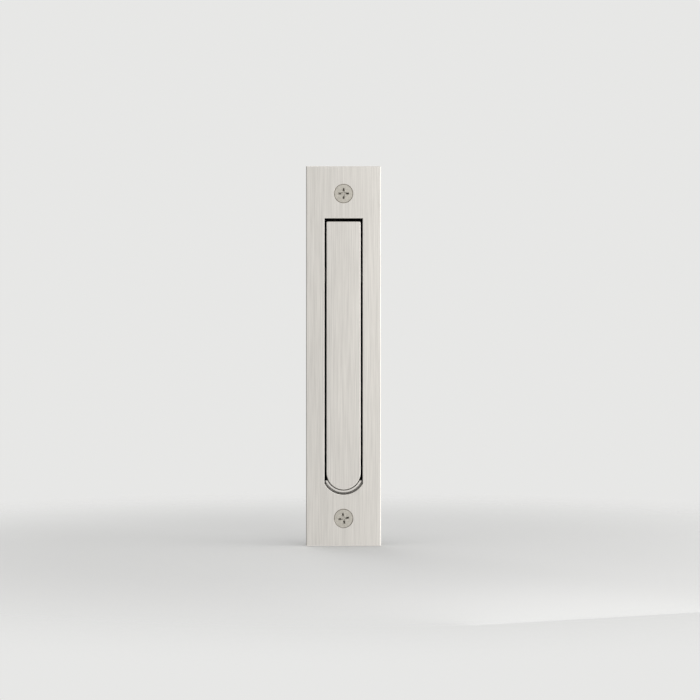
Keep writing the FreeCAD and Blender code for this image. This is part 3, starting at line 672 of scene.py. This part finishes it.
# The cross's inner corners and its floor, in half widths of an arm.
CROSS_CORE_SHARE = 1.25
CROSS_FLOOR_SHARE = 0.9
# The recess walls' colours are painted shade: darker metal that stands in for the shade in the recess and at the
# head's rim.
RECESS_SHADE_DARK = (0.18, 0.165, 0.145, 1)
RECESS_SHADE_LIGHT = (0.36, 0.335, 0.295, 1)
RECESS_ROUGHNESS = (0.40, 0.60)
RECESS_SHADE_GRAIN = 0.3 * MM
RECESS_SHADE_GRAIN_DEPTH = 0.006 * MM
# The painted shade metal, for recess walls and head rims, is the second of a screw's two finishes.
PAINTED_SHADE_METAL = 1
TO_FLOOR = Matrix.Rotation(math.radians(180), 4, "X")


def recess_painted_shade():
    """Painted shade: dark metal on the walls of a struck recess and on a head's rim, where shade falls, with a
    grain that varies it.
    """
    material, tree, shader = start_material("recess_painted_shade")
    shade_grain = grain(tree, even(RECESS_SHADE_GRAIN), detail=3.0)
    shader.inputs["Metallic"].default_value = 1.0
    tree.links.new(tint(tree, shade_grain, RECESS_SHADE_DARK, RECESS_SHADE_LIGHT), shader.inputs["Base Color"])
    tree.links.new(span(tree, shade_grain, *RECESS_ROUGHNESS), shader.inputs["Roughness"])
    tree.links.new(relief(tree, shade_grain, RECESS_SHADE_GRAIN_DEPTH), shader.inputs["Normal"])
    return material


def cross_ring(bm, reach, half_width, core, height):
    """A closed cross outline about Z: four arms of one reach and width that meet at the core."""
    arm = ((reach, -half_width, height), (reach, half_width, height), (core, core, height))
    corners = []
    for quarter in range(4):
        turned = Matrix.Rotation(quarter * math.pi / 2, 3, "Z")
        for point in arm:
            corners.append(bm.verts.new(turned @ Vector(point)))
    for pair in zip(corners, corners[1:] + corners[:1]):
        bm.edges.new(pair)
    return corners


def strike_recess(bm, rim_radius, reach, half_width, depth, floor_reach):
    """Closes a head's flat face at height 0, inside its rim, round a cross recess whose walls get painted shade.
    """
    level = [vert for vert in bm.verts if abs(vert.co.z) < HAIR]
    rim = [vert for vert in level if vert.co.xy.length < rim_radius + HAIR]
    core = CROSS_CORE_SHARE * half_width
    mouth = cross_ring(bm, reach + CROSS_EDGE, half_width + CROSS_EDGE, core + CROSS_EDGE, 0)
    throat = cross_ring(bm, reach, half_width, core, -CROSS_EDGE)
    floor = cross_ring(bm, floor_reach, CROSS_FLOOR_SHARE * half_width, core, -depth)
    bmesh.ops.bridge_loops(bm, edges=ring_edges(mouth) + ring_edges(throat))
    walls = bmesh.ops.bridge_loops(bm, edges=ring_edges(throat) + ring_edges(floor))["faces"]
    # The recess walls take the painted shade metal.
    for wall in walls:
        wall.material_index = PAINTED_SHADE_METAL
    bm.faces.new(floor)
    face_edges = ring_edges(rim) + ring_edges(mouth)
    bmesh.ops.triangle_fill(bm, use_beauty=True, edges=face_edges, normal=(0, 0, 1))


block_screw_low, block_screw_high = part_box("rest_block_screws")
pan_radius = (block_screw_high.y - block_screw_low.y) / 2
block_screw_x = block_screw_high.x - pan_radius
block_screw_y = (block_screw_high.y + block_screw_low.y) / 2
block_screw_length = block_screw_high.z - block_screw_low.z
dome = [
    (
        PAN_FLAT + (pan_radius - PAN_FLAT) * math.sin(step / PAN_STEPS * math.pi / 2),
        -PAN_HEIGHT * PAN_DOME_SHARE * (1 - math.cos(step / PAN_STEPS * math.pi / 2)),
    )
    for step in range(PAN_STEPS + 1)
]

block_screw = bmesh.new()
turn(block_screw, (
    *dome, (pan_radius, -PAN_HEIGHT), (BLOCK_SCREW_CORE, -PAN_HEIGHT),
    (BLOCK_SCREW_CORE, -block_screw_length), (0, -block_screw_length),
))
strike_recess(
    block_screw, PAN_FLAT, PAN_CROSS_REACH, PAN_CROSS_HALF_WIDTH, PAN_CROSS_DEPTH, PAN_CROSS_FLOOR,
)
block_screw_turns = math.floor((block_screw_length - PAN_HEIGHT) / BLOCK_SCREW_PITCH - 1)
block_thread_bottom = BLOCK_SCREW_PITCH / 2 - block_screw_length
wind_thread(
    block_screw, BLOCK_SCREW_CORE, BLOCK_SCREW_RADIUS, block_thread_bottom,
    BLOCK_SCREW_PITCH, block_screw_turns,
)
block_screws = bmesh.new()
for x in (-block_screw_x, block_screw_x):
    place = Matrix.Translation((x, block_screw_y, block_screw_low.z)) @ TO_FLOOR
    set_down(block_screws, block_screw, place)
block_screw.free()
recess_shade = recess_painted_shade()
pan_screws = make_piece(block_screws, "pan_screws", zinc, recess_shade)
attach(pan_screws, "plate_and_case")
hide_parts("rest_block_screws")

# Mounting screws: two countersunk wood screws, nickel plated, with a cross recess in a flat head.
# They go through the plate into the door. Each has a coarse thread that runs out on a sharp point.
SCREW_RIM = 0.16 * MM
SCREW_EDGE = 0.25 * MM
SCREW_NECK = 1.6 * MM
SCREW_NECK_LENGTH = 0.6 * MM
SCREW_NECK_TAPER = 0.3 * MM
SCREW_CORE = 1.45 * MM
SCREW_CREST = 2.1 * MM
SCREW_PITCH = 1.7 * MM
SCREW_POINT = 5 * MM
SCREW_CONE = math.radians(41)
THREAD_START = 1.2 * MM
THREAD_RUN_OUT = 1.4 * MM
CROSS_REACH = 2.15 * MM
CROSS_HALF_WIDTH = 0.32 * MM
CROSS_DEPTH = 1.1 * MM
CROSS_FLOOR = 1.05 * MM
UPPER_TURN, LOWER_TURN = math.radians(0), math.radians(10)
SCREW_DARK = (0.419, 0.398, 0.351, 1)
SCREW_LIGHT = (0.636, 0.603, 0.536, 1)
SCREW_ROUGHNESS = (0.32, 0.48)
SCREW_MOTTLE = 0.55 * MM
SCREW_PIT = 0.16 * MM
SCREW_PIT_SHARE = 0.3
SCREW_PIT_DEPTH = 0.01 * MM
TO_FRONT = Matrix.Rotation(math.radians(90), 4, "X")


def screw_nickel():
    """Barrel plated nickel: slightly darker than the plate and mottled by the tumbling."""
    material, tree, shader = start_material("screw_nickel")
    mottle = grain(tree, even(SCREW_MOTTLE), detail=4.0)
    pits = grain(tree, even(SCREW_PIT))
    cast = weigh(tree, mottle, pits, SCREW_PIT_SHARE)
    shader.inputs["Metallic"].default_value = 1.0
    tree.links.new(tint(tree, cast, SCREW_DARK, SCREW_LIGHT), shader.inputs["Base Color"])
    tree.links.new(span(tree, mottle, *SCREW_ROUGHNESS), shader.inputs["Roughness"])
    tree.links.new(relief(tree, pits, SCREW_PIT_DEPTH), shader.inputs["Normal"])
    return material


screw_low, screw_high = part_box("mounting_screws")
screw_radius = screw_high.x
screw_length = screw_high.y - screw_low.y
screw_spacing = frame["record"]["mounts"][0]["dims"]["spacing_y_mm"] * MM
neck_height = -SCREW_EDGE - (screw_radius - SCREW_NECK) / math.tan(SCREW_CONE)
neck_end = neck_height - SCREW_NECK_LENGTH
core_start = neck_end - SCREW_NECK_TAPER
point_height = SCREW_POINT - screw_length

screw = bmesh.new()
turn(screw, (
    (screw_radius - SCREW_RIM, 0), (screw_radius, -SCREW_RIM), (screw_radius, -SCREW_EDGE),
    (SCREW_NECK, neck_height), (SCREW_NECK, neck_end),
    (SCREW_CORE, core_start), (SCREW_CORE, point_height), (0, -screw_length),
), steps=2 * ROUND_STEPS)
# The head's rim and edge take the painted shade metal: a dark ring painted where the head meets the countersink.
for face in screw.faces:
    if face.calc_center_median().z > -SCREW_EDGE:
        face.material_index = PAINTED_SHADE_METAL
strike_recess(
    screw, screw_radius - SCREW_RIM, CROSS_REACH, CROSS_HALF_WIDTH, CROSS_DEPTH, CROSS_FLOOR,
)
plain = set(screw.verts)
thread_bottom = SCREW_PITCH / 4 - screw_length
thread_top = neck_height - THREAD_START
screw_turns = (thread_top - thread_bottom) / SCREW_PITCH
wind_thread(
    screw, SCREW_CORE, SCREW_CREST, thread_bottom, SCREW_PITCH, screw_turns, base=0.22, flat=0.04,
)
foot = SCREW_CORE - THREAD_SINK
for vert in set(screw.verts) - plain:
    radius = vert.co.xy.length
    run_out = min(1, max(thread_top - vert.co.z, 0) / THREAD_RUN_OUT)
    point = min(1, max(vert.co.z + screw_length, 0) / SCREW_POINT)
    vert.co.xy *= point * (foot + (radius - foot) * run_out) / radius
screws = bmesh.new()
for z, turned in ((screw_spacing / 2, UPPER_TURN), (-screw_spacing / 2, LOWER_TURN)):
    place = Matrix.Translation((0, screw_low.y, z)) @ TO_FRONT @ Matrix.Rotation(turned, 4, "Z")
    set_down(screws, screw, place)
screw.free()
wood_screws = make_piece(screws, "wood_screws", screw_nickel(), recess_shade)
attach(wood_screws, "plate_and_case")
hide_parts("mounting_screws")

# Stage: a pale round floor that fades into the pale background and is clear from below.
# The soft key lamp is near, on the right; one further round lights the edges, and one the back.
# What the metal mirrors is a sky that brightens from the left to the right.
BACKDROP = (0.80, 0.80, 0.79, 1)
FLOOR = (0.78, 0.78, 0.77, 1)
FLOOR_ROUGHNESS = 0.9
FLOOR_RADIUS = 0.5
FLOOR_STEPS = 96
FLOOR_DROP = 0.1 * MM
FADE_START, FADE_END = 0.10, 0.30
AMBIENT = 0.70
SKY_LEFT, SKY_RIGHT = -1.0, -0.05
SKY_DIM, SKY_BRIGHT = 0.32, 1.13

floor_mesh = bmesh.new()
bmesh.ops.create_circle(floor_mesh, cap_ends=True, segments=FLOOR_STEPS, radius=FLOOR_RADIUS)
floor_top = cad_low.z - FLOOR_DROP
bmesh.ops.translate(floor_mesh, verts=floor_mesh.verts[:], vec=(0, 0, floor_top))
floor, floor_tree, floor_shader = start_material("pale_floor")
floor_shader.inputs["Base Color"].default_value = FLOOR
floor_shader.inputs["Roughness"].default_value = FLOOR_ROUGHNESS
floor_shader.inputs["Specular IOR Level"].default_value = 0.0
floor_place = floor_tree.nodes.new("ShaderNodeTexCoord")
floor_flat = floor_tree.nodes.new("ShaderNodeVectorMath")
floor_flat.operation = "MULTIPLY"
floor_flat.inputs[1].default_value = (1, 1, 0)
floor_reach = floor_tree.nodes.new("ShaderNodeVectorMath")
floor_reach.operation = "LENGTH"
floor_fade = floor_tree.nodes.new("ShaderNodeMapRange")
floor_fade.interpolation_type = "SMOOTHSTEP"
floor_fade.inputs["From Min"].default_value = FADE_START
floor_fade.inputs["From Max"].default_value = FADE_END
floor_fade.inputs["To Min"].default_value = 1.0
floor_fade.inputs["To Max"].default_value = 0.0
floor_tree.links.new(floor_place.outputs["Object"], floor_flat.inputs[0])
floor_tree.links.new(floor_flat.outputs["Vector"], floor_reach.inputs[0])
floor_tree.links.new(floor_reach.outputs["Value"], floor_fade.inputs["Value"])
floor_side = floor_tree.nodes.new("ShaderNodeNewGeometry")
floor_shown = floor_tree.nodes.new("ShaderNodeMath")
floor_shown.operation = "SUBTRACT"
floor_shown.use_clamp = True
floor_tree.links.new(floor_fade.outputs["Result"], floor_shown.inputs[0])
floor_tree.links.new(floor_side.outputs["Backfacing"], floor_shown.inputs[1])
floor_tree.links.new(floor_shown.outputs["Value"], floor_shader.inputs["Alpha"])
studio_floor = make_piece(floor_mesh, "studio_floor", floor)
studio_floor.data.flip_normals()
studio_floor.visible_glossy = False

world = bpy.data.worlds.new("studio")
bpy.context.scene.world = world
world.use_nodes = True
sky = world.node_tree
sky.nodes.clear()
sky_end = sky.nodes.new("ShaderNodeOutputWorld")
sky_light = sky.nodes.new("ShaderNodeBackground")
sky_light.inputs["Color"].default_value = (1, 1, 1, 1)
sky_light.inputs["Strength"].default_value = AMBIENT
sky_seen = sky.nodes.new("ShaderNodeBackground")
sky_seen.inputs["Color"].default_value = BACKDROP
sky_mirrored = sky.nodes.new("ShaderNodeBackground")
sky_path = sky.nodes.new("ShaderNodeLightPath")
sky_place = sky.nodes.new("ShaderNodeTexCoord")
sky_apart = sky.nodes.new("ShaderNodeSeparateXYZ")
sky_sides = sky.nodes.new("ShaderNodeMapRange")
sky_sides.inputs["From Min"].default_value = SKY_LEFT
sky_sides.inputs["From Max"].default_value = SKY_RIGHT
sky_sides.inputs["To Min"].default_value = SKY_DIM
sky_sides.inputs["To Max"].default_value = SKY_BRIGHT
sky_shines = sky.nodes.new("ShaderNodeMath")
sky_shines.operation = "MAXIMUM"
sky_mixed = sky.nodes.new("ShaderNodeMixShader")
sky_whole = sky.nodes.new("ShaderNodeMixShader")
sky.links.new(sky_place.outputs["Generated"], sky_apart.inputs["Vector"])
sky.links.new(sky_apart.outputs["X"], sky_sides.inputs["Value"])
sky.links.new(sky_sides.outputs["Result"], sky_mirrored.inputs["Strength"])
sky.links.new(sky_path.outputs["Is Glossy Ray"], sky_shines.inputs[0])
sky.links.new(sky_path.outputs["Is Transmission Ray"], sky_shines.inputs[1])
sky.links.new(sky_shines.outputs["Value"], sky_mixed.inputs["Fac"])
sky.links.new(sky_light.outputs["Background"], sky_mixed.inputs[1])
sky.links.new(sky_mirrored.outputs["Background"], sky_mixed.inputs[2])
sky.links.new(sky_path.outputs["Is Camera Ray"], sky_whole.inputs["Fac"])
sky.links.new(sky_mixed.outputs["Shader"], sky_whole.inputs[1])
sky.links.new(sky_seen.outputs["Background"], sky_whole.inputs[2])
sky.links.new(sky_whole.outputs["Shader"], sky_end.inputs["Surface"])


def soft_lamp(name, place, width, height, power):
    """A soft lamp that looks at the object's middle."""
    data = bpy.data.lights.new(name, "AREA")
    data.shape = "RECTANGLE"
    data.size, data.size_y = width, height
    data.energy = power
    lamp = bpy.data.objects.new(name, data)
    bpy.context.scene.collection.objects.link(lamp)
    lamp.location = place
    lamp.rotation_euler = (-Vector(place)).to_track_quat("-Z", "Y").to_euler()
    lamp.visible_camera = False


soft_lamp("key_lamp", place=(0.08, -0.20, 0.02), width=0.10, height=0.38, power=0.085)
soft_lamp("edge_lamp", place=(0.37, -0.08, 0.02), width=0.26, height=0.36, power=0.40)
soft_lamp("back_lamp", place=(-0.35, 0.85, 0.60), width=0.60, height=0.60, power=2.0)

# Camera: square on to the plate and a little off its middle, with a long lens.
# It stands so far back that the plate fills a little over half the picture's height.
FRAME_WIDTH = 280 * MM
SENSOR, LENS = 36.0, 100.0
VIEW_X, VIEW_Z = 2.58 * MM, 2.4 * MM
camera_data = bpy.data.cameras.new("camera")
camera_data.sensor_width = SENSOR
camera_data.lens = LENS
camera = bpy.data.objects.new("camera", camera_data)
bpy.context.scene.collection.objects.link(camera)
camera.location = (VIEW_X, cad_low.y - FRAME_WIDTH * LENS / SENSOR, VIEW_Z)
camera.rotation_euler = (math.radians(90), 0, 0)
bpy.context.scene.camera = camera
bpy.context.scene.view_settings.view_transform = "Standard"
